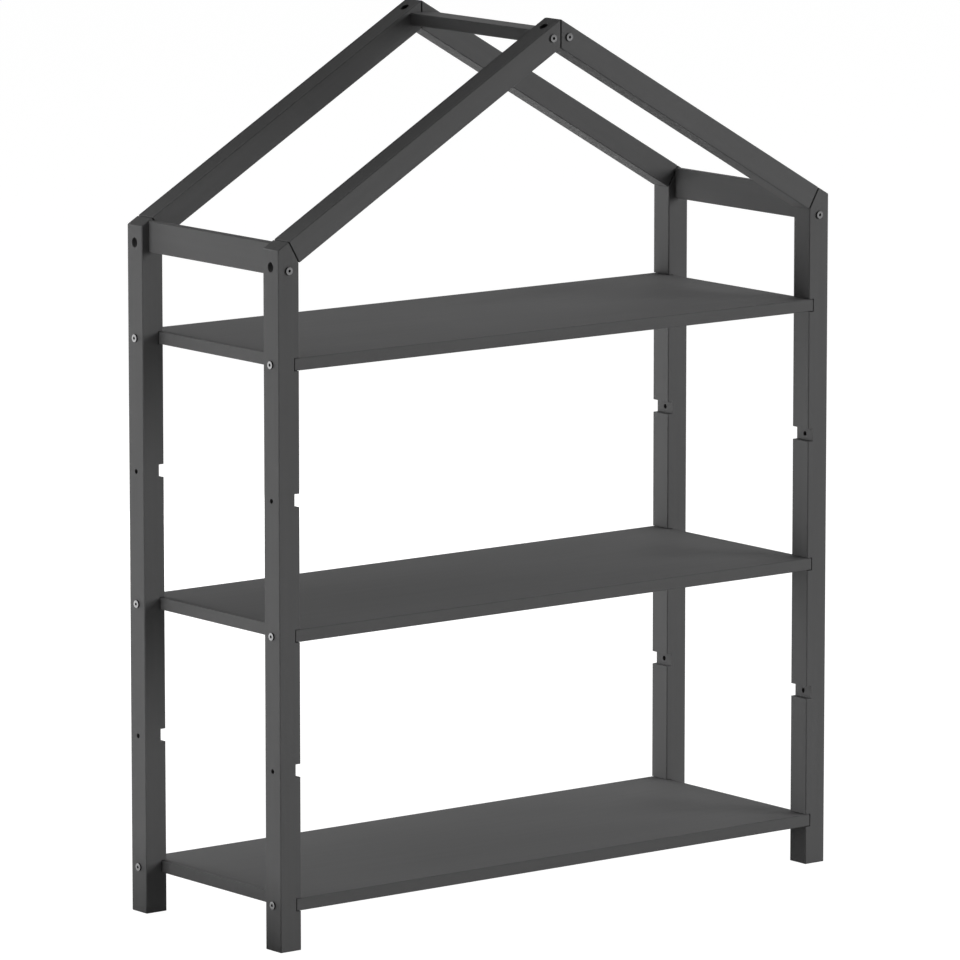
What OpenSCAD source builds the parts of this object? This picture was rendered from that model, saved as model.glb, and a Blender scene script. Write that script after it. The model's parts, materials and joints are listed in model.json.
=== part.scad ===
// House-shaped open shelf for a child's room: four notched posts, three shelves, a pitched roof frame.
// All sizes are in millimetres. The origin is on the floor, midway between the sides and the gables.
// X runs along the shelf, -Y is the front and +Z is up.

/* [Overall] */
// Length over the outer faces of the posts
unit_l = 1000; // [800:5:1200]
// Depth from the front faces to the rear faces
unit_d = 360; // [280:1:450]
// Height of the posts' outer faces, where the roof starts
eaves_h = 996; // [930:1:1150]
// Slope of the roof
roof_pitch = 30; // [24:0.5:36]

/* [Posts and rafters] */
// Width of a post, seen from the front
post_w = 36; // [32:1:45]
// Thickness of the posts and rafters, front to rear
frame_t = 36; // [30:1:45]
// Height of a rafter, square to the roof
rafter_h = 36; // [32:1:42]

/* [Shelves] */
// Thickness of a shelf
shelf_t = 18; // [15:0.5:22]
// Height of the bottom shelf's underside
bottom_shelf_z = 57; // [40:1:100]
// Height from one shelf to the next
shelf_pitch = 384; // [300:1:400]
// Depth of the housings in the posts
housing_depth = 9; // [6:0.5:12]
// Room for a shelf in the height of its housing, half above it and half below
housing_play = 1; // [0.4:0.1:1.4]
// Room between a shelf's end and the seat of its housing
shelf_end_play = 1.5; // [0.5:0.1:2.4]

/* [Side rails] */
// Height of a side rail
rail_h = 45; // [40:1:60]
// Thickness of a side rail
rail_t = 12; // [11:0.5:20]
// Height of a rail's screw above its lower edge
rail_screw_up = 8.5; // [7:0.5:11]
// Height of a rail's dowel above its lower edge
rail_dowel_up = 35.5; // [34:0.5:37]

/* [Ridge beam] */
// Width of the ridge beam
beam_w = 40; // [38:1:50]
// Height of the ridge beam
beam_h = 18; // [16:0.5:22]
// Depth of the beam's top below the ridge
beam_drop = 17; // [16:0.5:20]
// Distance of the beam's screws from its centre line
beam_screw_out = 14.4; // [13.5:0.1:15.5]

/* [Screws and dowels] */
// Diameter of a screw, over its thread
screw_d = 6.6; // [6:0.1:7]
// Length of a screw's tapered tip
screw_tip_l = 4; // [2:0.5:8]
// Clearance of a screw in its hole, on the diameter
screw_play = 0.4; // [0.2:0.1:0.8]
// Diameter of a screw's head
head_d = 11.5; // [10:0.1:12]
// Height of a screw's head
head_h = 2.4; // [2:0.1:3]
// Width across the flats of the hexagon socket
socket_af = 4; // [3:0.5:4]
// Depth of the hexagon socket
socket_depth = 2.6; // [2:0.1:3]
// Length of a shelf screw under its head
shelf_screw_l = 50; // [45:1:70]
// Length of a rail screw and of a beam screw
rail_screw_l = 70; // [60:1:80]
// Length of an eaves screw
eaves_screw_l = 60; // [50:1:70]
// Length of a ridge screw
ridge_screw_l = 40; // [36:1:46]
// Diameter of the counterbores
counterbore_d = 12.5; // [12:0.1:14]
// Depth of the eaves counterbores, along the screw
eaves_bore_depth = 10; // [8:0.5:12]
// Depth of the ridge counterbores, along the screw
ridge_bore_depth = 8; // [6:0.5:9]
// Height of the eaves below which the eaves screw enters the post
eaves_screw_drop = 25; // [22:0.5:26]
// Distance from the ridge at which the ridge screw enters the roof
ridge_screw_in = 17.5; // [16:0.5:20]
// Slope at which the ridge screw runs down
ridge_screw_slope = 40; // [38:1:44]
// Diameter of a dowel
dowel_d = 6; // [5:0.5:7]
// Length of a dowel
dowel_l = 30; // [20:1:40]
// Clearance of a dowel in its hole, on the diameter and at each end
dowel_play = 0.2; // [0.1:0.1:0.5]

/* [Finish] */
// Chamfer on the long edges of the wood
arris = 1.2; // [0.6:0.1:2]
// Chamfer on the edges of a joint
joint_arris = 0.6; // [0.3:0.1:1]
// Chamfer on the rim of a screw's head
head_arris = 0.6; // [0.3:0.1:0.8]

/* [Hidden] */

paint = "#545456";
screw_finish = "#77787b";
beech = "#d8b98c";
round_fn = 48;

// The master corner is the left front one: outer_x is its outer face and front_y its front face.
outer_x = -unit_l / 2;
front_y = -unit_d / 2;
inner_y = front_y + frame_t;
mid_y = front_y + frame_t / 2;
ridge_z = eaves_h + unit_l / 2 * tan(roof_pitch);
rafter_drop = rafter_h / cos(roof_pitch);

// A rafter stands square on the post: its end runs from the roof to the post's inner corner.
joint_low = [outer_x + post_w, eaves_h + post_w * tan(roof_pitch) - rafter_drop];
joint_top = joint_low + rafter_h * [-sin(roof_pitch), cos(roof_pitch)];

// Housings follow each other at half the shelf pitch, so the second and the fourth stay free.
housing_z = [for (i = [0:4]) bottom_shelf_z + i * shelf_pitch / 2];
shelf_z = [for (i = [0, 2, 4]) housing_z[i]];
seat_x = outer_x + post_w - housing_depth;
shelf_l = -2 * (seat_x + shelf_end_play);

// A rail's upper outer edge meets the slope of the roof.
rail_x = outer_x + post_w / 2;
rail_top_z = eaves_h + (post_w - rail_t) / 2 * tan(roof_pitch);
rail_low_z = rail_top_z - rail_h;
beam_low_z = ridge_z - beam_drop - beam_h;
span_y = unit_d - 2 * frame_t;

hole_d = screw_d + screw_play;
hole_tip = 1;
cut_over = 1;

// Outline of the left front post, from its outer foot
post_points = [[outer_x, 0], [outer_x + post_w, 0], joint_low, joint_top, [outer_x, eaves_h]];
post_corners = [arris, arris, joint_arris, joint_arris, arris];
post_rims = [arris, arris, joint_arris, arris, arris];

// Outline of the left rafter, from its lower end
rafter_points = [joint_low, [0, ridge_z - rafter_drop], [0, ridge_z], joint_top];
rafter_corners = [joint_arris, joint_arris, joint_arris, joint_arris];
rafter_rims = [arris, joint_arris, arris, joint_arris];

function toward(a, b, leg) = a + leg * (b - a) / norm(b - a);

// The outline with each corner cut off by its own leg
function cut_corners(p, legs) = [for (i = [0:len(p) - 1], side = [-1, 1])
    toward(p[i], p[(i + side + len(p)) % len(p)], legs[i])];

// A board's section with all four edges broken, on its centre line and from its underside up
function board_section(w, h) = cut_corners([[-w / 2, 0], [w / 2, 0], [w / 2, h], [-w / 2, h]],
    [arris, arris, arris, arris]);

module both_ends() {
    children();
    mirror([1, 0, 0]) children();
}

module both_gables() {
    children();
    mirror([0, 1, 0]) children();
}

// Breaks the front and the rear rim of a frame bar along its edge from a to b.
module rim_cut(a, b, leg) {
    run = b - a;
    for (y = [front_y, inner_y])
        translate([a[0], y, a[1]])
            rotate([0, -atan2(run[1], run[0]), 0])
                translate([norm(run) / 2, 0, 0])
                    rotate([45, 0, 0])
                        cube([norm(run) + 2 * leg, leg * sqrt(2), leg * sqrt(2)], center = true);
}

// A bar of the front gable, cut from its outline with all its edges broken
module frame_bar(points, corners, rims) {
    difference() {
        translate([0, inner_y, 0])
            rotate([90, 0, 0])
                linear_extrude(frame_t)
                    polygon(cut_corners(points, corners));
        for (i = [0:len(points) - 1])
            rim_cut(points[i], points[(i + 1) % len(points)], rims[i]);
    }
}

// A straight board that runs from gable to gable
module cross_board(x, low_z, w, h) {
    translate([x, span_y / 2, low_z])
        rotate([90, 0, 0])
            linear_extrude(span_y)
                polygon(board_section(w, h));
}

// The places of the fasteners at the left front corner: +Z points out of the wood,
// and Z = 0 is where the underside of the head sits.
module at_shelf_screw(z) {
    translate([outer_x, mid_y, z + shelf_t / 2]) rotate([0, -90, 0]) children();
}

module at_rail_screw() {
    translate([rail_x, front_y, rail_low_z + rail_screw_up]) rotate([90, 0, 0]) children();
}

module at_beam_screw() {
    translate([-beam_screw_out, front_y, beam_low_z + beam_h / 2]) rotate([90, 0, 0]) children();
}

module at_eaves_screw() {
    translate([outer_x, mid_y, eaves_h - eaves_screw_drop])
        rotate([0, -90 - roof_pitch, 0])
            translate([0, 0, -eaves_bore_depth]) children();
}

module at_ridge_screw() {
    translate([-ridge_screw_in, mid_y, ridge_z - ridge_screw_in * tan(roof_pitch)])
        rotate([0, ridge_screw_slope - 90, 0])
            translate([0, 0, -ridge_bore_depth]) children();
}

// A dowel's place, with its middle in the joint between rail and post
module at_rail_dowel() {
    translate([rail_x, inner_y, rail_low_z + rail_dowel_up]) rotate([90, 0, 0]) children();
}

// The hole for a screw of this length, open at the head's side
module screw_bore(length) {
    translate([0, 0, -length - hole_tip])
        cylinder(d = hole_d, h = length + hole_tip + cut_over, $fn = round_fn);
}

// The wide hole that sinks a head below a sloping face
module counterbore(depth) {
    cylinder(d = counterbore_d, h = depth + counterbore_d, $fn = round_fn);
}

module dowel_bore() {
    cylinder(d = dowel_d + dowel_play, h = dowel_l + 2 * dowel_play, center = true, $fn = round_fn);
}

// One connector screw: a tapered tip, a shank with its thread's full width and a flat head
// with a broken rim and a hexagon socket
module screw(length) {
    difference() {
        rotate_extrude($fn = round_fn)
            polygon([[0, -length], [screw_d / 5, -length], [screw_d / 2, screw_tip_l - length],
                [screw_d / 2, 0], [head_d / 2, 0], [head_d / 2, head_h - head_arris],
                [head_d / 2 - head_arris, head_h], [0, head_h]]);
        translate([0, 0, head_h - socket_depth])
            cylinder(d = socket_af / cos(30), h = socket_depth + cut_over, $fn = 6);
    }
}

module dowel() {
    rotate_extrude($fn = round_fn)
        polygon([[0, -dowel_l / 2], [dowel_d / 2 - joint_arris, -dowel_l / 2],
            [dowel_d / 2, -dowel_l / 2 + joint_arris], [dowel_d / 2, dowel_l / 2 - joint_arris],
            [dowel_d / 2 - joint_arris, dowel_l / 2], [0, dowel_l / 2]]);
}

// The left front post: housings for shelves, screw holes and the sloping top
module post() {
    color(paint) difference() {
        frame_bar(post_points, post_corners, post_rims);
        for (z = housing_z) {
            translate([seat_x, front_y - cut_over, z - housing_play / 2])
                cube([post_w, frame_t + 2 * cut_over, shelf_t + housing_play]);
            at_shelf_screw(z) screw_bore(post_w);
        }
        at_rail_screw() screw_bore(rail_screw_l);
        at_rail_dowel() dowel_bore();
        at_eaves_screw() {
            screw_bore(eaves_screw_l);
            counterbore(eaves_bore_depth);
        }
    }
}

// A rafter of the front gable: the left one carries the counterbore of the ridge screw.
module rafter_left() {
    color(paint) difference() {
        frame_bar(rafter_points, rafter_corners, rafter_rims);
        at_eaves_screw() screw_bore(eaves_screw_l);
        at_beam_screw() screw_bore(rail_screw_l);
        at_ridge_screw() {
            screw_bore(ridge_screw_l);
            counterbore(ridge_bore_depth);
        }
    }
}

module rafter_right() {
    color(paint) difference() {
        mirror([1, 0, 0]) difference() {
            frame_bar(rafter_points, rafter_corners, rafter_rims);
            at_eaves_screw() screw_bore(eaves_screw_l);
            at_beam_screw() screw_bore(rail_screw_l);
        }
        at_ridge_screw() screw_bore(ridge_screw_l);
    }
}

module shelf(z) {
    color(paint) difference() {
        translate([-shelf_l / 2, 0, z])
            rotate([90, 0, 90])
                linear_extrude(shelf_l)
                    polygon(board_section(unit_d, shelf_t));
        both_ends() both_gables() at_shelf_screw(z) screw_bore(shelf_screw_l);
    }
}

module side_rail() {
    color(paint) difference() {
        cross_board(rail_x, rail_low_z, rail_t, rail_h);
        both_gables() {
            at_rail_screw() screw_bore(rail_screw_l);
            at_rail_dowel() dowel_bore();
        }
    }
}

module ridge_beam() {
    color(paint) difference() {
        cross_board(0, beam_low_z, beam_w, beam_h);
        both_gables() both_ends() at_beam_screw() screw_bore(rail_screw_l);
    }
}

module shelf_screws(z) {
    color(screw_finish) both_ends() both_gables()
        at_shelf_screw(z) screw(shelf_screw_l);
}

module side_rail_screws() {
    color(screw_finish) both_gables() at_rail_screw() screw(rail_screw_l);
}

module side_rail_dowels() {
    color(beech) both_ends() both_gables() at_rail_dowel() dowel();
}

module ridge_beam_screws() {
    color(screw_finish) both_ends() at_beam_screw() screw(rail_screw_l);
}

module eaves_screws() {
    color(screw_finish) both_ends() at_eaves_screw() screw(eaves_screw_l);
}

module ridge_screws() {
    color(screw_finish) both_gables() at_ridge_screw() screw(ridge_screw_l);
}

post();  // post_left_front
mirror([0, 1, 0]) post();  // post_left_rear
mirror([1, 0, 0]) post();  // post_right_front
mirror([0, 1, 0]) mirror([1, 0, 0]) post();  // post_right_rear
shelf(shelf_z[0]);  // shelf_bottom
shelf(shelf_z[1]);  // shelf_middle
shelf(shelf_z[2]);  // shelf_top
side_rail();  // side_rail_left
mirror([1, 0, 0]) side_rail();  // side_rail_right
rafter_left();  // rafter_left_front
mirror([0, 1, 0]) rafter_left();  // rafter_left_rear
rafter_right();  // rafter_right_front
mirror([0, 1, 0]) rafter_right();  // rafter_right_rear
ridge_beam();
shelf_screws(shelf_z[0]);  // shelf_bottom_screws
shelf_screws(shelf_z[1]);  // shelf_middle_screws
shelf_screws(shelf_z[2]);  // shelf_top_screws
side_rail_screws();  // side_rail_left_screws
mirror([1, 0, 0]) side_rail_screws();  // side_rail_right_screws
side_rail_dowels();
ridge_beam_screws();  // ridge_beam_front_screws
mirror([0, 1, 0]) ridge_beam_screws();  // ridge_beam_rear_screws
eaves_screws();  // eaves_front_screws
mirror([0, 1, 0]) eaves_screws();  // eaves_rear_screws
ridge_screws();
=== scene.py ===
"""Looks of the house-shaped bookshelf: softened painted wood, connector screws and a plain studio."""

import json
import logging
import math
from dataclasses import dataclass, field
from enum import Enum

import bmesh
import bpy
from mathutils import Matrix, Vector

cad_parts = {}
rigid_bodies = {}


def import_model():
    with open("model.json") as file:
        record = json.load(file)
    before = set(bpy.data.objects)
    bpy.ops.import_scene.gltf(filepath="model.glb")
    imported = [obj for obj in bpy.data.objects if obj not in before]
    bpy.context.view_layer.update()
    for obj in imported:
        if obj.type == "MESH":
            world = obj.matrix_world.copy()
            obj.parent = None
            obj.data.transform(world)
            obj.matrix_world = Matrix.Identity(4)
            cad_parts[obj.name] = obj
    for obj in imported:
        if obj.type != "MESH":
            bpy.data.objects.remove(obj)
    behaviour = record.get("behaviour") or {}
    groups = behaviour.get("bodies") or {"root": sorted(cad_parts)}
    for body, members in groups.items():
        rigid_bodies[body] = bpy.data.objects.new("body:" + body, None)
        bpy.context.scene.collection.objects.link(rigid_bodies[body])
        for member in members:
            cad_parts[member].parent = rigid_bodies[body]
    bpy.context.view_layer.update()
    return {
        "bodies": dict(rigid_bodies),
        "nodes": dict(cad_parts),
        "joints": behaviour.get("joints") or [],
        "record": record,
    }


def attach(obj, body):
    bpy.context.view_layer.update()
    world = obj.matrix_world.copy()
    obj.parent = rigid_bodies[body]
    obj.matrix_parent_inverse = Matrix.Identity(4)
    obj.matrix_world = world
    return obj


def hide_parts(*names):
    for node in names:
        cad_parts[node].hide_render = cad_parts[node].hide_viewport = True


LOG = logging.getLogger("bookshelf")

Triple = tuple[float, float, float]


def mm(value: float) -> float:
    """Turns millimetres into metres."""
    return value / 1000.0


# Slopes in radians
ROOF_PITCH = math.radians(30)
RIDGE_SCREW_SLOPE = math.radians(40)

# Corners of a mesh that are closer than this are one corner
SAME_CORNER = mm(0.01)
# The same where a mesh was cut or spun
TINY = mm(0.001)
# Edges that turn more than this stay sharp
SHARP_TURN = math.radians(35)

ALONG_X = Vector((1.0, 0.0, 0.0))
ALONG_Y = Vector((0.0, 1.0, 0.0))
ALONG_Z = Vector((0.0, 0.0, 1.0))


class Grain(Enum):
    """The way that a piece's grain runs, as the turn about X, Y and Z that lays it along X."""

    LENGTHWISE = (0.0, 0.0, 0.0)
    CROSSWISE = (0.0, 0.0, -math.pi / 2)
    UPRIGHT = (0.0, math.pi / 2, 0.0)
    LEFT_SLOPE = (0.0, ROOF_PITCH, 0.0)
    RIGHT_SLOPE = (0.0, -ROOF_PITCH, 0.0)


class Facing(Enum):
    """The ways that fasteners face.

    Each has its outward direction on the +X, +Y side, whether that is mirrored on the other
    sides, and whether the head is sunk.
    """

    OUT_OF_THE_END = ((1.0, 0.0, 0.0), True, False)
    OUT_OF_THE_GABLE = ((0.0, 1.0, 0.0), True, False)
    BELOW_THE_EAVES = ((math.cos(ROOF_PITCH), 0.0, -math.sin(ROOF_PITCH)), True, True)
    OUT_OF_THE_LEFT_SLOPE = (
        (-math.cos(RIDGE_SCREW_SLOPE), 0.0, math.sin(RIDGE_SCREW_SLOPE)), False, True)

    def __init__(self, direction: Triple, turns: bool, sunk: bool) -> None:
        """Keeps the parts of the value.

        Args:
            direction: The outward direction on the +X, +Y side.
            turns: Whether it is mirrored with the side.
            sunk: Whether the head sits in a counterbore.
        """
        self.direction = direction
        self.turns = turns
        self.sunk = sunk

    def at(self, place: Vector) -> Vector:
        """Gives the outward direction of a fastener.

        Args:
            place: A point of the fastener.

        Returns:
            The unit vector that its head faces.
        """
        x, y, z = self.direction
        if self.turns:
            x, y = math.copysign(x, place.x), math.copysign(y, place.y)
        return Vector((x, y, z))


class NodeGraph:
    """A small helper that adds and links shader nodes in one node tree."""

    def __init__(self, tree: bpy.types.NodeTree) -> None:
        """Keeps the tree.

        Args:
            tree: The node tree to add to.
        """
        self.tree = tree

    def add(self, kind: str, **settings: object) -> bpy.types.Node:
        """Adds a node and sets its plain properties.

        Args:
            kind: The node's type name.
            settings: Properties of the node, by name.

        Returns:
            The new node.
        """
        node = self.tree.nodes.new(kind)
        for name, value in settings.items():
            setattr(node, name, value)
        return node

    def link(self, source: bpy.types.NodeSocket, target: bpy.types.NodeSocket) -> None:
        """Links one socket to another."""
        self.tree.links.new(source, target)

    def noise(self, vector: bpy.types.NodeSocket, scale: float,
              octaves: float) -> bpy.types.NodeSocket:
        """Adds a noise texture.

        Args:
            vector: The coordinates that it reads.
            scale: Its scale.
            octaves: How many finer layers it has.

        Returns:
            The noise value's socket.
        """
        node = self.add("ShaderNodeTexNoise")
        node.inputs["Scale"].default_value = scale
        node.inputs["Detail"].default_value = octaves
        self.link(vector, node.inputs["Vector"])
        return node.outputs["Fac"]

    def stretched(self, vector: bpy.types.NodeSocket, share: float) -> bpy.types.NodeSocket:
        """Stretches a pattern along X.

        Args:
            vector: The coordinates that the pattern reads.
            share: How fast the pattern changes along X, compared with the other axes.

        Returns:
            The stretched coordinates' socket.
        """
        node = self.add("ShaderNodeVectorMath", operation="MULTIPLY")
        self.link(vector, node.inputs[0])
        node.inputs[1].default_value = (share, 1.0, 1.0)
        return node.outputs[0]

    def ramp(self, value: bpy.types.NodeSocket, low: float, high: float,
             start: float = 0.0, end: float = 1.0) -> bpy.types.NodeSocket:
        """Maps a value from one range to another.

        Args:
            value: The value to map.
            low: The result at the start of the first range.
            high: The result at its end.
            start: The start of the first range.
            end: Its end.

        Returns:
            The mapped value's socket.
        """
        node = self.add("ShaderNodeMapRange")
        self.link(value, node.inputs["Value"])
        node.inputs["From Min"].default_value = start
        node.inputs["From Max"].default_value = end
        node.inputs["To Min"].default_value = low
        node.inputs["To Max"].default_value = high
        return node.outputs["Result"]

    def combine(self, operation: str, first: bpy.types.NodeSocket, second: bpy.types.NodeSocket,
                clamp: bool = False) -> bpy.types.NodeSocket:
        """Combines two values.

        Args:
            operation: The Math node's operation.
            first: The first value.
            second: The second value.
            clamp: Whether the result is kept from 0 to 1.

        Returns:
            The result's socket.
        """
        node = self.add("ShaderNodeMath", operation=operation, use_clamp=clamp)
        self.link(first, node.inputs[0])
        self.link(second, node.inputs[1])
        return node.outputs[0]

    def tint(self, factor: bpy.types.NodeSocket, low: Triple, high: Triple) -> bpy.types.NodeSocket:
        """Mixes two colours by a value.

        Args:
            factor: The value, from 0 to 1.
            low: The colour at 0.
            high: The colour at 1.

        Returns:
            The colour's socket.
        """
        mix = self.add("ShaderNodeMix", data_type="RGBA")
        mix.inputs["A"].default_value = (*low, 1.0)
        mix.inputs["B"].default_value = (*high, 1.0)
        self.link(factor, mix.inputs["Factor"])
        return mix.outputs["Result"]

    def relief(self, height: bpy.types.NodeSocket, strength: float, depth: float,
               shader: bpy.types.Node) -> None:
        """Gives a shader a fine relief.

        Args:
            height: The relief's height, from 0 to 1.
            strength: How much of it shows.
            depth: Its depth in metres.
            shader: The Principled shader.
        """
        bump = self.add("ShaderNodeBump")
        bump.inputs["Strength"].default_value = strength
        bump.inputs["Distance"].default_value = depth
        self.link(height, bump.inputs["Height"])
        self.link(bump.outputs["Normal"], shader.inputs["Normal"])


def empty_graph(owner: bpy.types.Material | bpy.types.World) -> NodeGraph:
    """Gives a material or a world an empty node graph.

    Args:
        owner: The material or the world.

    Returns:
        Its graph.
    """
    owner.use_nodes = True
    owner.node_tree.nodes.clear()
    return NodeGraph(owner.node_tree)


def new_material(name: str) -> tuple[bpy.types.Material, NodeGraph, bpy.types.Node]:
    """Makes a material with one Principled shader.

    Args:
        name: The material's name.

    Returns:
        The material, its graph and its shader.
    """
    material = bpy.data.materials.new(name)
    graph = empty_graph(material)
    shader = graph.add("ShaderNodeBsdfPrincipled")
    graph.link(shader.outputs["BSDF"], graph.add("ShaderNodeOutputMaterial").inputs["Surface"])
    return material, graph, shader


def around(middle: float, spread: float) -> tuple[float, float]:
    """Gives the range that reaches as far below a value as above it."""
    return middle - spread, middle + spread


def dimmed(colour: Triple, share: float) -> Triple:
    """Multiplies a colour by a share."""
    red, green, blue = colour
    return red * share, green * share, blue * share


@dataclass
class WoodFigure:
    """The figure of planed softwood, as values that paint covers more or less.

    A stretch is how fast a pattern changes along the grain, compared with across it.
    """

    fibre_stretch: float = 0.02
    fibre_octaves: float = 3.0
    band_stretch: float = 0.03
    band_octaves: float = 2.0
    patch_stretch: float = 0.4
    patch_octaves: float = 3.0
    patches_per_metre: float = 14.0
    tree: bpy.types.NodeTree = field(init=False)

    def __post_init__(self) -> None:
        """Builds the node group once."""
        self.tree = self._build()

    def _build(self) -> bpy.types.NodeTree:
        """Builds the group: long fibres, wide growth bands and soft patches.

        Returns:
            The node group.
        """
        tree = bpy.data.node_groups.new("wood figure", "ShaderNodeTree")
        tree.interface.new_socket(name="Along Grain", in_out="INPUT", socket_type="NodeSocketVector")
        for label in ("Fibre Width", "Band Width"):
            tree.interface.new_socket(name=label, in_out="INPUT", socket_type="NodeSocketFloat")
        for label in ("Fibres", "Bands", "Patches"):
            tree.interface.new_socket(name=label, in_out="OUTPUT", socket_type="NodeSocketFloat")
        graph = NodeGraph(tree)
        source, sink = graph.add("NodeGroupInput"), graph.add("NodeGroupOutput")
        along = source.outputs["Along Grain"]
        for width, stretch, octaves, label in (
            ("Fibre Width", self.fibre_stretch, self.fibre_octaves, "Fibres"),
            ("Band Width", self.band_stretch, self.band_octaves, "Bands"),
        ):
            per_metre = graph.add("ShaderNodeMath", operation="DIVIDE")
            per_metre.inputs[0].default_value = 1.0
            graph.link(source.outputs[width], per_metre.inputs[1])
            spread = graph.add("ShaderNodeVectorMath", operation="SCALE")
            graph.link(graph.stretched(along, stretch), spread.inputs[0])
            graph.link(per_metre.outputs[0], spread.inputs["Scale"])
            graph.link(graph.noise(spread.outputs[0], 1.0, octaves), sink.inputs[label])
        patches = graph.noise(graph.stretched(along, self.patch_stretch), self.patches_per_metre,
                              self.patch_octaves)
        graph.link(patches, sink.inputs["Patches"])
        return tree

    def place(self, graph: NodeGraph, grain: Grain, fibre_width: float,
              band_width: float) -> bpy.types.Node:
        """Places the group in a material.

        Args:
            graph: The material's graph.
            grain: The way the grain runs.
            fibre_width: Width of a fibre.
            band_width: Width of a growth band.

        Returns:
            The group's node.
        """
        coordinates = graph.add("ShaderNodeTexCoord")
        turned = graph.add("ShaderNodeMapping")
        turned.inputs["Rotation"].default_value = grain.value
        graph.link(coordinates.outputs["Object"], turned.inputs["Vector"])
        node = graph.add("ShaderNodeGroup", node_tree=self.tree)
        graph.link(turned.outputs["Vector"], node.inputs["Along Grain"])
        node.inputs["Fibre Width"].default_value = fibre_width
        node.inputs["Band Width"].default_value = band_width
        return node


@dataclass(frozen=True)
class MattPaint:
    """Dark grey matt paint on planed wood: the fibres show as a faint relief."""

    colour: Triple = (0.083, 0.083, 0.0835)
    tone_spread: float = 0.05
    band_tones: tuple[float, float] = (-0.3, 0.9)
    patch_tones: tuple[float, float] = (-0.3, 0.7)
    roughness: float = 0.75
    roughness_spread: float = 0.05
    gloss: float = 0.12
    fibre_width: float = mm(0.8)
    band_width: float = mm(8)
    fibre_depth: float = mm(0.03)
    relief_strength: float = 0.6

    def material(self, grain: Grain, figure: WoodFigure) -> bpy.types.Material:
        """Makes the paint for pieces whose grain runs one way.

        Args:
            grain: The way the grain runs.
            figure: The shared wood figure.

        Returns:
            The material.
        """
        material, graph, shader = new_material(f"painted_wood_{grain.name.lower()}")
        shader.inputs["Specular IOR Level"].default_value = self.gloss
        wood = figure.place(graph, grain, self.fibre_width, self.band_width)
        shade = graph.combine("ADD", graph.ramp(wood.outputs["Bands"], *self.band_tones),
                              graph.ramp(wood.outputs["Patches"], *self.patch_tones))
        dark, light = (dimmed(self.colour, share) for share in around(1.0, self.tone_spread))
        graph.link(graph.tint(shade, dark, light), shader.inputs["Base Color"])
        roughness = around(self.roughness, self.roughness_spread)
        graph.link(graph.ramp(wood.outputs["Patches"], *roughness), shader.inputs["Roughness"])
        graph.relief(wood.outputs["Fibres"], self.relief_strength, self.fibre_depth, shader)
        return material


@dataclass(frozen=True)
class PlainBeech:
    """Bare turned beech for the dowels."""

    colour: Triple = (0.52, 0.34, 0.19)
    dark: Triple = (0.36, 0.21, 0.11)
    roughness: tuple[float, float] = (0.5, 0.75)
    fibre_width: float = mm(0.3)
    band_width: float = mm(1.5)
    fibre_depth: float = mm(0.03)
    relief_strength: float = 0.5

    def material(self, figure: WoodFigure) -> bpy.types.Material:
        """Makes the beech.

        Args:
            figure: The shared wood figure.

        Returns:
            The material.
        """
        material, graph, shader = new_material("plain_beech")
        wood = figure.place(graph, Grain.CROSSWISE, self.fibre_width, self.band_width)
        tone = graph.tint(wood.outputs["Bands"], self.dark, self.colour)
        graph.link(tone, shader.inputs["Base Color"])
        graph.link(graph.ramp(wood.outputs["Fibres"], *self.roughness), shader.inputs["Roughness"])
        graph.relief(wood.outputs["Fibres"], self.relief_strength, self.fibre_depth, shader)
        return material


@dataclass(frozen=True)
class ScrewSteel:
    """Plated steel of the screws, slightly blotched and rubbed by the driver."""

    name: str = "screw_steel"
    colour: Triple = (0.445, 0.445, 0.45)
    tone_spread: float = 0.15
    roughness: float = 0.26
    roughness_spread: float = 0.06
    blotch_size: float = mm(1.1)
    blotch_octaves: float = 3.0
    scratch_size: float = mm(0.3)
    scratch_octaves: float = 2.0
    scratch_depth: float = mm(0.02)
    relief_strength: float = 0.3

    def material(self) -> bpy.types.Material:
        """Makes the steel.

        Returns:
            The material.
        """
        material, graph, shader = new_material(self.name)
        shader.inputs["Metallic"].default_value = 1.0
        place = graph.add("ShaderNodeTexCoord").outputs["Object"]
        blotch = graph.noise(place, 1.0 / self.blotch_size, self.blotch_octaves)
        dull, bright = (dimmed(self.colour, share) for share in around(1.0, self.tone_spread))
        graph.link(graph.tint(blotch, dull, bright), shader.inputs["Base Color"])
        roughness = around(self.roughness, self.roughness_spread)
        graph.link(graph.ramp(blotch, *roughness), shader.inputs["Roughness"])
        scratches = graph.noise(place, 1.0 / self.scratch_size, self.scratch_octaves)
        graph.relief(scratches, self.relief_strength, self.scratch_depth, shader)
        return material


def new_piece(mesh: bmesh.types.BMesh, name: str, materials: tuple[bpy.types.Material, ...],
              node: str) -> bpy.types.Object:
    """Turns a bmesh into a piece of the shelf that stands for a CAD node.

    Args:
        mesh: The finished bmesh, in the row frame. It is freed.
        name: The piece's name.
        materials: Its materials, in the order of the faces' indexes.
        node: The CAD node that it stands for.

    Returns:
        The new object.
    """
    for face in mesh.faces:
        face.smooth = True
    for edge in mesh.edges:
        edge.smooth = len(edge.link_faces) == 2 and edge.calc_face_angle(0.0) < SHARP_TURN
    data = bpy.data.meshes.new(name)
    mesh.to_mesh(data)
    mesh.free()
    for material in materials:
        data.materials.append(material)
    piece = bpy.data.objects.new(name, data)
    bpy.context.scene.collection.objects.link(piece)
    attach(piece, "root")
    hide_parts(node)
    LOG.info("%s: %d faces", name, len(data.polygons))
    return piece


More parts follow.
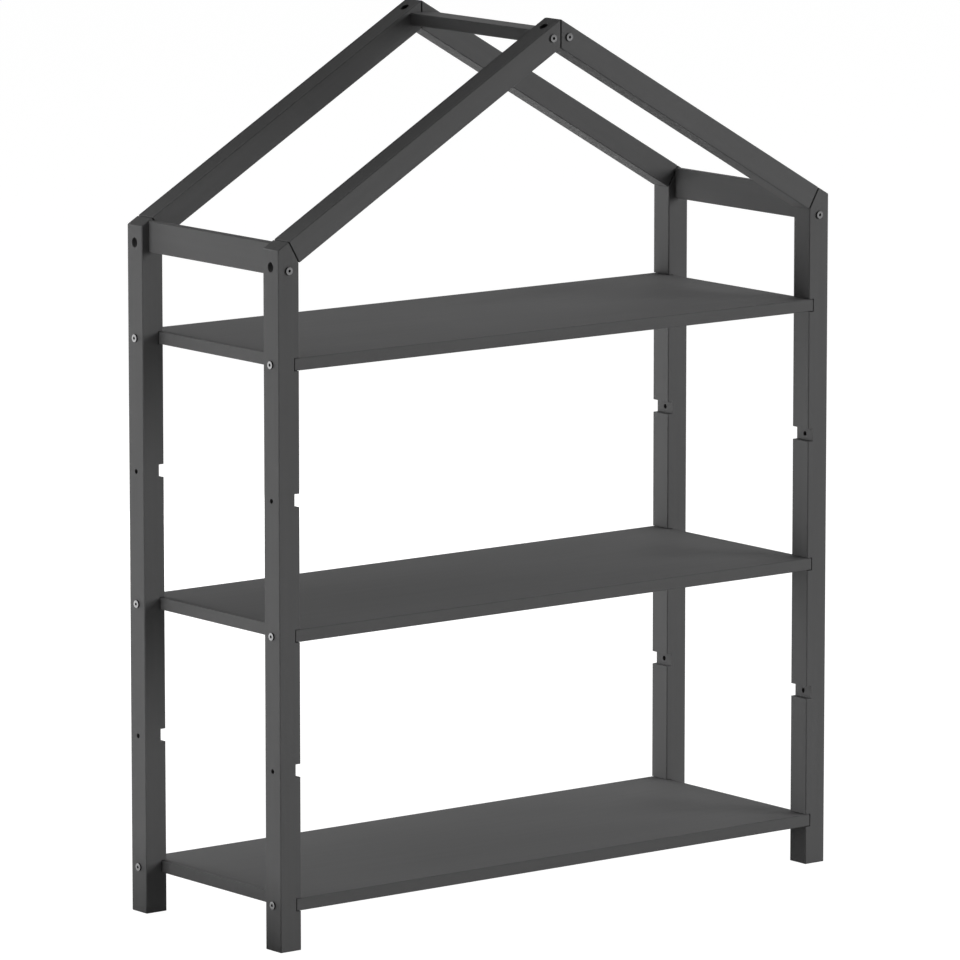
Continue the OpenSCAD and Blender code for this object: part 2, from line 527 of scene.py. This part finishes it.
def cut_across(mesh: bmesh.types.BMesh, direction: Vector, distance: float) -> None:
    """Cuts new edges into a bmesh where a plane meets it.

    Args:
        mesh: The bmesh to cut.
        direction: The direction that the plane faces.
        distance: The plane's distance from the origin in that direction.
    """
    bmesh.ops.bisect_plane(mesh, geom=mesh.verts[:] + mesh.edges[:] + mesh.faces[:], dist=TINY,
                           plane_co=direction * distance, plane_no=direction)


@dataclass(frozen=True)
class Bar:
    """A bar between two joints, with a seam round each.

    Each pair of sides is given as a direction and the depth of the seams there, and each end as
    its outward direction and the width of its seam.
    """

    sides: tuple[tuple[Vector, float], ...]
    ends: tuple[tuple[Vector, float], ...]


@dataclass
class SoftenedWood:
    """Turns the CAD solid of a wooden piece into one with rounded, painted-over arrises.

    Attributes:
        softening: How far the rounding reaches from an arris.
        segments: The number of facets across it.
        shortest_arris: The length above which an edge is rounded.
        least_turn: The turn above which an edge is rounded.
        flat_turn: The turn below which two faces are one.
        rim_reach: How far from a bar's end its rim reaches.
        seam_step: The width of the step at a seam's bottom.
        end_relief: How much slimmer a shelf's end is above, and below.
        end_step: The width of the step where that starts.
    """

    softening: float = mm(0.2)
    segments: int = 2
    shortest_arris: float = mm(4)
    least_turn: float = math.radians(30)
    flat_turn: float = math.radians(1)
    rim_reach: float = mm(1)
    seam_step: float = mm(0.05)
    end_relief: float = mm(0.3)
    end_step: float = mm(0.02)

    def build(self, frame: dict, node: str, material: bpy.types.Material,
              bar: Bar | None = None, slim_beyond: float = 0.0) -> bpy.types.Object:
        """Copies a CAD solid, merges it and rounds its long edges.

        Args:
            node: The CAD node's name.
            material: The piece's paint.
            bar: The seams at its ends, if it has any.
            slim_beyond: The distance from the middle beyond which a shelf is slimmer, or 0.

        Returns:
            The softened piece.
        """
        mesh = bmesh.new()
        mesh.from_mesh(frame["nodes"][node].data)
        bmesh.ops.remove_doubles(mesh, verts=mesh.verts, dist=SAME_CORNER)
        bmesh.ops.dissolve_limit(mesh, angle_limit=self.flat_turn, verts=mesh.verts, edges=mesh.edges)
        arrises = [edge for edge in mesh.edges if self._is_arris(edge)]
        bmesh.ops.bevel(mesh, geom=arrises, offset=self.softening, offset_type="OFFSET",
                        segments=self.segments, profile=0.5, affect="EDGES", material=-1,
                        clamp_overlap=True)
        if bar:
            self._open_seams(mesh, bar)
        if slim_beyond:
            self._slim_ends(mesh, slim_beyond)
        piece = new_piece(mesh, f"{node}_wood", (material,), node)
        flat = piece.modifiers.new("flat faces stay flat", "WEIGHTED_NORMAL")
        flat.keep_sharp = True
        return piece

    def _is_arris(self, edge: bmesh.types.BMEdge) -> bool:
        """Whether an edge is long and turns enough to be rounded."""
        return (len(edge.link_faces) == 2 and edge.calc_length() > self.shortest_arris
                and edge.calc_face_angle(0.0) > self.least_turn)

    def _open_seams(self, mesh: bmesh.types.BMesh, bar: Bar) -> None:
        """Moves the rims of a bar's ends back, so that dark seams run round its closed joints.

        Args:
            mesh: The bar's bmesh.
            bar: Its sides and ends.
        """
        core = []
        for side, depth in bar.sides:
            heights = [corner.co.dot(side) for corner in mesh.verts]
            low, high = min(heights) + depth, max(heights) - depth
            for height in (low, low + self.seam_step, high - self.seam_step, high):
                cut_across(mesh, side, height)
            core.append((side, low + self.seam_step / 2, high - self.seam_step / 2))
        for end, width in bar.ends:
            near = max(corner.co.dot(end) for corner in mesh.verts) - self.rim_reach
            rim = [corner for corner in mesh.verts if corner.co.dot(end) > near
                   and not all(low < corner.co.dot(side) < high for side, low, high in core)]
            bmesh.ops.translate(mesh, verts=rim, vec=-width * end)
        bmesh.ops.remove_doubles(mesh, verts=mesh.verts, dist=TINY)

    def _slim_ends(self, mesh: bmesh.types.BMesh, reach: float) -> None:
        """Takes a little off a shelf's ends, above and below, where they sit in the housings.

        Args:
            mesh: The shelf's bmesh.
            reach: The distance from the middle beyond which it is slimmer.
        """
        for side in (-1.0, 1.0):
            for place in (reach - self.end_step, reach):
                cut_across(mesh, ALONG_X, side * place)
        heights = [corner.co.z for corner in mesh.verts]
        low, high = min(heights), max(heights)
        for corner in mesh.verts:
            if abs(corner.co.x) > reach - self.end_step / 2:
                share = (corner.co.z - low) / (high - low)
                corner.co.z += self.end_relief * (1.0 - 2.0 * share)


def cross_bar_with(seam: float, depth: float = mm(1.5)) -> Bar:
    """Describes a bar that runs from gable to gable.

    Args:
        seam: The width of the seams at its ends.
        depth: Their depth.

    Returns:
        The bar's sides and ends.
    """
    return Bar(sides=((ALONG_X, depth), (ALONG_Z, depth)), ends=((ALONG_Y, seam), (-ALONG_Y, seam)))


@dataclass
class Carcass:
    """The four posts, the three shelves and the two side rails."""

    posts: tuple[str, ...] = (
        "post_left_front", "post_left_rear", "post_right_front", "post_right_rear")
    shelves: tuple[str, ...] = ("shelf_bottom", "shelf_middle", "shelf_top")
    rails: tuple[str, ...] = ("side_rail_left", "side_rail_right")
    rail_seam: float = mm(0.3)
    between_posts: float = mm(464)
    wood: SoftenedWood = field(default_factory=SoftenedWood)

    def build(self, frame: dict, paints: dict[Grain, bpy.types.Material]) -> None:
        """Builds and paints the pieces.

        Args:
            paints: The paint for each grain direction.
        """
        rail = cross_bar_with(self.rail_seam)
        for name in self.posts:
            self.wood.build(frame, name, paints[Grain.UPRIGHT])
        for name in self.shelves:
            self.wood.build(frame, name, paints[Grain.LENGTHWISE], slim_beyond=self.between_posts)
        for name in self.rails:
            self.wood.build(frame, name, paints[Grain.CROSSWISE], rail)


@dataclass
class RoofFrame:
    """The four rafters and the ridge beam."""

    left: tuple[str, ...] = ("rafter_left_front", "rafter_left_rear")
    right: tuple[str, ...] = ("rafter_right_front", "rafter_right_rear")
    beam: str = "ridge_beam"
    eaves_seam: float = mm(1.8)
    ridge_seam: float = mm(0.9)
    beam_seam: float = mm(0.3)
    gable_seam_depth: float = mm(5)
    top_seam_depth: float = mm(1)
    wood: SoftenedWood = field(default_factory=SoftenedWood)

    def build(self, frame: dict, paints: dict[Grain, bpy.types.Material]) -> None:
        """Builds and paints the pieces.

        Args:
            paints: The paint for each grain direction.
        """
        for name in self.left:
            self.wood.build(frame, name, paints[Grain.LEFT_SLOPE], self._rafter(-1.0))
        for name in self.right:
            self.wood.build(frame, name, paints[Grain.RIGHT_SLOPE], self._rafter(1.0))
        self.wood.build(frame, self.beam, paints[Grain.CROSSWISE], cross_bar_with(self.beam_seam))

    def _rafter(self, side: float) -> Bar:
        """Describes a rafter.

        Args:
            side: -1 on the left, 1 on the right.

        Returns:
            The rafter's sides and ends.
        """
        run, rise = math.cos(ROOF_PITCH), math.sin(ROOF_PITCH)
        eaves, upward = Vector((side * run, 0.0, -rise)), Vector((side * rise, 0.0, run))
        return Bar(sides=((ALONG_Y, self.gable_seam_depth), (upward, self.top_seam_depth)),
                   ends=((eaves, self.eaves_seam), (-side * ALONG_X, self.ridge_seam)))


def solids_of(node: bpy.types.Object) -> list[list[Vector]]:
    """Finds the separate solids of a CAD node, always in the same order.

    Args:
        node: The node's object.

    Returns:
        The corners of each solid.
    """
    mesh = bmesh.new()
    mesh.from_mesh(node.data)
    bmesh.ops.remove_doubles(mesh, verts=mesh.verts, dist=SAME_CORNER)
    seen, solids = set(), []
    for first in mesh.verts:
        if first in seen:
            continue
        seen.add(first)
        solid, waiting = [], [first]
        while waiting:
            corner = waiting.pop()
            solid.append(corner.co.copy())
            near = [edge.other_vert(corner) for edge in corner.link_edges]
            waiting += [other for other in near if other not in seen]
            seen.update(near)
        solids.append(solid)
    mesh.free()
    return solids


def spun(profile: list[tuple[float, float]], steps: int) -> bmesh.types.BMesh:
    """Turns a profile about Z into a closed body.

    Args:
        profile: Points as radius and height, from one pole to the other.
        steps: Number of steps around.

    Returns:
        The bmesh.
    """
    mesh = bmesh.new()
    corners = [mesh.verts.new((radius, 0.0, height)) for radius, height in profile]
    edges = [mesh.edges.new(pair) for pair in zip(corners, corners[1:])]
    bmesh.ops.spin(mesh, geom=corners + edges, cent=(0, 0, 0), axis=ALONG_Z, angle=math.tau,
                   steps=steps, use_merge=True)
    bmesh.ops.remove_doubles(mesh, verts=mesh.verts, dist=TINY)
    bmesh.ops.recalc_face_normals(mesh, faces=mesh.faces)
    return mesh


def add_copy(target: bmesh.types.BMesh, source: bmesh.types.BMesh, place: Matrix) -> None:
    """Adds a moved copy of one bmesh to another.

    Args:
        target: The bmesh that grows.
        source: The bmesh to copy. It is freed.
        place: Where the copy goes.
    """
    data = bpy.data.meshes.new("copy")
    source.to_mesh(data)
    source.free()
    data.transform(place)
    target.from_mesh(data)
    bpy.data.meshes.remove(data)


@dataclass
class ConnectorScrew:
    """A connector screw: a flat head with a hexagon socket, a plain neck and a coarse thread.

    Attributes:
        rim: The radius of the head's rounded rim.
        side_rise: The rise of a normal below which a face of the rim belongs to the head's side.
        socket_lead: The chamfer at the socket's mouth.
        socket_cone: The depth of the cone that the socket's drill left.
        neck_share: The neck's length as a share of the screw's.
        neck_slack: How much thinner the neck is than the thread, to each side.
        neck_fillet: The length of the neck's flare under the head.
        neck_taper: The length of its taper to the core.
        thread_foot: The width of the thread where it leaves the core.
        thread_root: How deep it stands in the core.
        thread_gap: The plain stretch between the neck and the thread.
        thread_steps: The number of steps in a turn of the thread.
    """

    head_width: float = mm(11.5)
    head_height: float = mm(2.4)
    head_chamfer: float = mm(0.15)
    rim: float = mm(0.6)
    rim_steps: int = 4
    side_rise: float = 0.8
    socket_flats: float = mm(4)
    socket_depth: float = mm(2.6)
    socket_lead: float = mm(0.2)
    socket_cone: float = mm(0.4)
    neck_share: float = 0.25
    neck_slack: float = mm(0.1)
    neck_fillet: float = mm(0.4)
    neck_taper: float = mm(0.8)
    core_width: float = mm(4.8)
    thread_width: float = mm(6.6)
    thread_pitch: float = mm(3)
    thread_foot: float = mm(1.1)
    thread_root: float = mm(0.1)
    thread_gap: float = mm(1.5)
    thread_steps: int = 24
    tip_height: float = mm(4)
    tip_width: float = mm(2.64)
    steps: int = 48

    def build(self, size: Vector) -> bmesh.types.BMesh:
        """Builds one screw along Z, with its middle at the origin.

        Args:
            size: The size of its CAD solid, with the length along Z.

        Returns:
            The bmesh.
        """
        length = size.z - self.head_height
        mesh = spun(self._profile(length), self.steps)
        self._cut_socket(mesh)
        # The head's side and its socket get near-black steel as painted shade.
        self._paint_shade(mesh)
        add_copy(mesh, self._thread(length), Matrix.Identity(4))
        bmesh.ops.translate(mesh, verts=mesh.verts, vec=(length - size.z / 2) * ALONG_Z)
        return mesh

    def _profile(self, length: float) -> list[tuple[float, float]]:
        """Draws the outline of the body, from the tip to the bottom of the socket.

        Args:
            length: The screw's length under the head, whose underside is at Z = 0.

        Returns:
            Points as radius and height.
        """
        core, thread, head = self.core_width / 2, self.thread_width / 2, self.head_width / 2
        neck, neck_end = thread - self.neck_slack, -self.neck_share * length
        top, socket = self.head_height, self.socket_flats / 2
        floor = top - self.socket_depth
        quarter = [math.pi / 2 * step / self.rim_steps for step in range(self.rim_steps + 1)]
        rounding = [
            (head - self.rim * (1.0 - math.cos(turn)), top - self.rim * (1.0 - math.sin(turn)))
            for turn in quarter
        ]
        return [
            (0.0, -length), (self.tip_width / 2, -length), (core, self.tip_height - length),
            (core, neck_end - self.neck_taper), (neck, neck_end), (neck, -self.neck_fillet),
            (thread, 0.0), (head - self.head_chamfer, 0.0), (head, self.head_chamfer), *rounding,
            (socket + self.socket_lead, top), (socket, top - self.socket_lead),
            (socket, floor), (0.0, floor - self.socket_cone),
        ]

    def _cut_socket(self, mesh: bmesh.types.BMesh) -> None:
        """Moves the socket's round rings onto a hexagon.

        Args:
            mesh: The screw's bmesh.
        """
        reach = self.socket_flats / 2 + self.socket_lead + SAME_CORNER
        floor = self.head_height - self.socket_depth - SAME_CORNER
        sixth = math.tau / 6
        for corner in mesh.verts:
            radius = math.hypot(corner.co.x, corner.co.y)
            if SAME_CORNER < radius < reach and corner.co.z > floor:
                angle = math.atan2(corner.co.y, corner.co.x) % sixth - sixth / 2
                corner.co.xy /= math.cos(angle)

    def _paint_shade(self, mesh: bmesh.types.BMesh) -> None:
        """Paints shade: the near-black second steel goes to the head's side and into the socket.

        Args:
            mesh: The screw's bmesh.
        """
        socket_corner = self.socket_flats / math.sqrt(3)
        mouth = self.head_height - self.socket_lead
        bottom = self.head_height - self.socket_depth - self.socket_cone
        for face in mesh.faces:
            centre = face.calc_center_median()
            radius = math.hypot(centre.x, centre.y)
            at_side = (centre.z > 0.0 and radius > self.head_width / 2 - self.rim
                       and face.normal.z < self.side_rise)
            in_socket = radius < socket_corner and bottom < centre.z < mouth
            if at_side or in_socket:
                face.material_index = 1

    def _thread(self, length: float) -> bmesh.types.BMesh:
        """Builds the thread as a helical ridge that stands in the core.

        Args:
            length: The screw's length under the head.

        Returns:
            The bmesh.
        """
        low, high = self.tip_height - length, -self.neck_share * length - self.thread_gap
        steps = int((high - low) / self.thread_pitch * self.thread_steps)
        root, crest = self.core_width / 2 - self.thread_root, self.thread_width / 2
        mesh = bmesh.new()
        half = self.thread_foot / 2
        corners = [mesh.verts.new(point)
                   for point in ((root, 0.0, low - half), (crest, 0.0, low), (root, 0.0, low + half))]
        edges = [mesh.edges.new((corners[i - 1], corners[i])) for i in range(3)]
        bmesh.ops.spin(mesh, geom=corners + edges, cent=(0, 0, 0), axis=ALONG_Z,
                       dvec=self.thread_pitch / self.thread_steps * ALONG_Z,
                       angle=math.tau / self.thread_steps * steps, steps=steps, use_merge=False)
        bmesh.ops.holes_fill(mesh, edges=[edge for edge in mesh.edges if edge.is_boundary], sides=3)
        bmesh.ops.recalc_face_normals(mesh, faces=mesh.faces)
        return mesh


@dataclass
class FlutedDowel:
    """A dowel with chamfered ends and fine flutes that let the glue out."""

    chamfer: float = mm(0.5)
    flute: float = mm(0.15)
    steps: int = 48
    steps_per_flute: int = 3

    def build(self, size: Vector) -> bmesh.types.BMesh:
        """Builds one dowel along Z, with its middle at the origin.

        Args:
            size: The size of its CAD solid, with the length along Z.

        Returns:
            The bmesh.
        """
        radius, half, cut = size.x / 2, size.z / 2, self.chamfer
        mesh = spun([(0.0, -half), (radius - cut, -half), (radius, cut - half), (radius, half - cut),
                     (radius - cut, half), (0.0, half)], self.steps)
        for corner in mesh.verts:
            step = round(math.atan2(corner.co.y, corner.co.x) / math.tau * self.steps)
            outside = math.hypot(corner.co.x, corner.co.y) > radius - SAME_CORNER
            if outside and step % self.steps_per_flute == 0:
                corner.co.xy *= 1.0 - self.flute / radius
        return mesh


@dataclass
class Fastenings:
    """The connector screws and the dowels, each in the place of its CAD solid."""

    screws: dict[str, Facing] = field(default_factory=lambda: {
        "shelf_bottom_screws": Facing.OUT_OF_THE_END,
        "shelf_middle_screws": Facing.OUT_OF_THE_END,
        "shelf_top_screws": Facing.OUT_OF_THE_END,
        "side_rail_left_screws": Facing.OUT_OF_THE_GABLE,
        "side_rail_right_screws": Facing.OUT_OF_THE_GABLE,
        "ridge_beam_front_screws": Facing.OUT_OF_THE_GABLE,
        "ridge_beam_rear_screws": Facing.OUT_OF_THE_GABLE,
        "eaves_front_screws": Facing.BELOW_THE_EAVES,
        "eaves_rear_screws": Facing.BELOW_THE_EAVES,
        "ridge_screws": Facing.OUT_OF_THE_LEFT_SLOPE,
    })
    dowels: str = "side_rail_dowels"
    screw: ConnectorScrew = field(default_factory=ConnectorScrew)
    dowel: FlutedDowel = field(default_factory=FlutedDowel)

    def build(self, frame: dict, rubbed: bpy.types.Material, dark: bpy.types.Material,
              beech: bpy.types.Material) -> None:
        """Builds every screw and dowel.

        Args:
            rubbed: The rubbed steel of the heads that stand proud.
            dark: Near-black steel, painted shade on their sides and in sockets, and on the sunk
                screws.
            beech: The dowels' material.
        """
        for node, facing in self.screws.items():
            # Sunk screws are all near-black, and every head's side and socket too: painted shade.
            steels = (dark if facing.sunk else rubbed, dark)
            group = self._gather(frame["nodes"][node], facing, self.screw)
            new_piece(group, f"{node}_steel", steels, node)
        group = self._gather(frame["nodes"][self.dowels], Facing.OUT_OF_THE_GABLE, self.dowel)
        new_piece(group, f"{self.dowels}_beech", (beech,), self.dowels)

    def _gather(self, node: bpy.types.Object, facing: Facing,
                model: ConnectorScrew | FlutedDowel) -> bmesh.types.BMesh:
        """Builds a fastener in the place of each solid of a CAD node.

        Args:
            node: The node's object.
            facing: The way that the fasteners face.
            model: What builds one of them.

        Returns:
            The bmesh with all of them.
        """
        group = bmesh.new()
        for corners in solids_of(node):
            place, size = self._measure(corners, facing)
            add_copy(group, model.build(size), place)
        return group

    @staticmethod
    def _measure(corners: list[Vector], facing: Facing) -> tuple[Matrix, Vector]:
        """Measures a fastener in its own directions.

        Args:
            corners: The corners of its CAD solid.
            facing: The way that it faces.

        Returns:
            The place of its middle with Z outwards, and its size.
        """
        turn = facing.at(corners[0]).to_track_quat("Z", "Y").to_matrix()
        own = [turn.transposed() @ corner for corner in corners]
        low, high = (Vector(pick(point[i] for point in own) for i in range(3)) for pick in (min, max))
        return Matrix.Translation(turn @ ((low + high) / 2)) @ turn.to_4x4(), high - low


def flat_sheet(name: str, length: float, width: float,
               material: bpy.types.Material) -> bpy.types.Object:
    """Makes a level sheet for the studio, with its middle at the origin.

    Args:
        name: The sheet's name.
        length: Its size along X.
        width: Its size along Y.
        material: Its material.

    Returns:
        The new object.
    """
    mesh = bmesh.new()
    bmesh.ops.create_grid(mesh, x_segments=1, y_segments=1, size=0.5)
    bmesh.ops.scale(mesh, vec=(length, width, 1.0), verts=mesh.verts)
    data = bpy.data.meshes.new(name)
    mesh.to_mesh(data)
    mesh.free()
    data.materials.append(material)
    sheet = bpy.data.objects.new(name, data)
    bpy.context.scene.collection.objects.link(sheet)
    return sheet


@dataclass(frozen=True)
class Softbox:
    """One soft area lamp, which neither the camera nor a gloss sees."""

    name: str
    place: Triple
    width: float
    height: float
    power: float
    aim: Triple = (0.0, 0.0, 0.6)

    def build(self) -> None:
        """Hangs the lamp."""
        data = bpy.data.lights.new(self.name, "AREA")
        data.shape = "RECTANGLE"
        data.size, data.size_y = self.width, self.height
        data.energy = self.power
        lamp = bpy.data.objects.new(self.name, data)
        lamp.location = self.place
        ahead = Vector(self.aim) - Vector(self.place)
        lamp.rotation_euler = ahead.to_track_quat("-Z", "Y").to_euler()
        lamp.visible_camera = lamp.visible_glossy = False
        bpy.context.scene.collection.objects.link(lamp)
        LOG.info("%s: %.1f W", self.name, self.power)


@dataclass(frozen=True)
class Flag:
    """A black card in front of a lamp, of which only the shadow shows."""

    name: str
    place: Triple
    width: float
    height: float

    def build(self, black: bpy.types.Material) -> None:
        """Hangs the card across the X direction.

        Args:
            black: The card's material.
        """
        card = flat_sheet(self.name, self.height, self.width, black)
        card.location = self.place
        card.rotation_euler = (0.0, math.pi / 2, 0.0)
        card.visible_camera = card.visible_diffuse = False
        card.visible_glossy = card.visible_transmission = False
        LOG.info("%s: %.2f m wide", self.name, self.width)


@dataclass
class Studio:
    """The pale floor, the soft lamps, the black cards and the camera.

    Attributes:
        floor_tone: The floor's colour, as a grey.
        floor_glow: The floor's own glow to the camera, where 1 is white.
        shadow_share: The share of the floor's look that is matt, and so keeps the shadow.
        dim_front: How bright a gloss sees the surroundings at the front, where 1 is white.
        floor_dimming: The Y up to which the floor is that dim, and the Y from which it is white.
        sky_dimming: The same for the sky, as the Y of a unit direction.
        camera_yaw: The camera's turn to the right of +Y, in radians.
        camera_pitch: How far it looks down, in radians.
        camera_lens: Its focal length in millimetres.
        camera_sensor: Its sensor's width in millimetres.
    """

    floor_size: float = 60.0
    floor_tone: float = 0.8
    floor_glow: float = 0.99
    shadow_share: float = 0.15
    dim_front: float = 0.33
    floor_dimming: tuple[float, float] = (0.0, 2.0)
    sky_dimming: tuple[float, float] = (-0.4, 0.4)
    lamps: tuple[Softbox, ...] = (
        Softbox("left_softbox", (-4.0, 0.8, 0.4), 4.0, 0.8, 123.0),
        Softbox("right_front_softbox", (7.9, -8.3, 3.12), 5.6, 5.6, 1290.0),
        Softbox("right_top_softbox", (2.8, 0.0, 3.2), 2.0, 2.0, 38.0),
        Softbox("top_softbox", (0.0, 0.0, 4.0), 3.0, 3.0, 16.0),
        Softbox("rear_softbox", (0.0, 4.0, 1.6), 3.0, 2.0, 230.0),
        Softbox("low_rear_softbox", (0.0, 3.0, 0.35), 4.0, 0.6, 95.0),
    )
    flags: tuple[Flag, ...] = (
        Flag("ridge_flag", (-0.8, 0.1, 1.15), 1.6, 0.32),
        Flag("foot_flag", (-1.0, 0.0, 0.05), 0.7, 0.1),
    )
    camera_place: Triple = (-7.05086, -9.03524, 2.50689)
    camera_yaw: float = 0.6623
    camera_pitch: float = 0.1649
    camera_lens: float = 300.92
    camera_sensor: float = 36.0

    def build(self) -> None:
        """Sets up the whole studio."""
        self._build_floor()
        self._build_world()
        for lamp in self.lamps:
            lamp.build()
        black, _, shader = new_material("black_card")
        shader.inputs["Base Color"].default_value = (0.0, 0.0, 0.0, 1.0)
        for flag in self.flags:
            flag.build(black)
        self._build_camera()
        bpy.context.scene.view_settings.view_transform = "Standard"
        LOG.info("studio: %d lamps and %d cards", len(self.lamps), len(self.flags))

    def _whiteness(self, graph: NodeGraph, coordinates: str,
                   dimming: tuple[float, float]) -> bpy.types.NodeSocket:
        """Makes a mask of how white the surroundings look to the camera and in a gloss.

        Args:
            graph: The graph to add the mask to.
            coordinates: The texture coordinates whose Y tells the front from the rear.
            dimming: Where a gloss sees them dim and where white.

        Returns:
            The mask's socket: 1 to the camera, dimmer at the front in a gloss, and otherwise 0.
        """
        path = graph.add("ShaderNodeLightPath")
        parts = graph.add("ShaderNodeSeparateXYZ")
        graph.link(graph.add("ShaderNodeTexCoord").outputs[coordinates], parts.inputs[0])
        depth = graph.ramp(parts.outputs["Y"], self.dim_front, 1.0, *dimming)
        mask = graph.combine("MULTIPLY", depth, path.outputs["Is Glossy Ray"])
        for name in ("Is Camera Ray", "Is Transmission Ray"):
            mask = graph.combine("ADD", mask, path.outputs[name], clamp=True)
        return mask

    def _build_floor(self) -> None:
        """Lays the pale floor, which keeps a trace of the shadow."""
        material = bpy.data.materials.new("pale_floor")
        graph = empty_graph(material)
        matt = graph.add("ShaderNodeBsdfDiffuse")
        matt.inputs["Color"].default_value = (self.floor_tone, self.floor_tone, self.floor_tone, 1.0)
        white = graph.add("ShaderNodeEmission")
        mask = self._whiteness(graph, "Object", self.floor_dimming)
        strength = graph.ramp(mask, 0.0, self.floor_glow / (1.0 - self.shadow_share))
        graph.link(strength, white.inputs["Strength"])
        mix = graph.add("ShaderNodeMixShader")
        lit = graph.add("ShaderNodeLightPath").outputs["Is Diffuse Ray"]
        graph.link(graph.ramp(lit, 1.0 - self.shadow_share, 0.0), mix.inputs[0])
        graph.link(matt.outputs[0], mix.inputs[1])
        graph.link(white.outputs[0], mix.inputs[2])
        graph.link(mix.outputs[0], graph.add("ShaderNodeOutputMaterial").inputs["Surface"])
        floor = flat_sheet("floor", self.floor_size, self.floor_size, material)

    def _build_world(self) -> None:
        """Makes the background white, without lighting the object by it."""
        world = bpy.data.worlds.new("studio")
        graph = empty_graph(world)
        white = graph.add("ShaderNodeBackground")
        white.inputs["Color"].default_value = (1.0, 1.0, 1.0, 1.0)
        mask = self._whiteness(graph, "Generated", self.sky_dimming)
        graph.link(mask, white.inputs["Strength"])
        graph.link(white.outputs[0], graph.add("ShaderNodeOutputWorld").inputs["Surface"])
        bpy.context.scene.world = world

    def _build_camera(self) -> None:
        """Sets the camera at the photograph's viewing angle."""
        data = bpy.data.cameras.new("camera")
        data.sensor_fit = "HORIZONTAL"
        data.sensor_width = self.camera_sensor
        data.lens = self.camera_lens
        yaw, pitch = self.camera_yaw, self.camera_pitch
        level = math.cos(pitch)
        ahead = Vector((math.sin(yaw) * level, math.cos(yaw) * level, -math.sin(pitch)))
        right = Vector((math.cos(yaw), -math.sin(yaw), 0.0))
        turn = Matrix((right, right.cross(ahead), -ahead)).transposed()
        camera = bpy.data.objects.new("camera", data)
        camera.matrix_world = Matrix.Translation(self.camera_place) @ turn.to_4x4()
        bpy.context.scene.collection.objects.link(camera)
        bpy.context.scene.camera = camera


def main() -> None:
    """Builds the bookshelf's pieces, their finishes and the studio, in that order."""
    logging.basicConfig(level=logging.INFO, format="%(name)s: %(message)s")
    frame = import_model()
    figure = WoodFigure()
    paint = MattPaint()
    paints = {grain: paint.material(grain, figure) for grain in Grain}
    Carcass().build(frame, paints)
    RoofFrame().build(frame, paints)
    rubbed = ScrewSteel().material()
    # Near-black steel painting the shade beside the heads, in the sockets and in the counterbores.
    dark = ScrewSteel(name="painted_shade_screw_steel", colour=(0.03, 0.03, 0.031), roughness=0.45).material()
    Fastenings().build(frame, rubbed, dark, PlainBeech().material(figure))
    Studio().build()


if __name__ == "__main__":
    main()
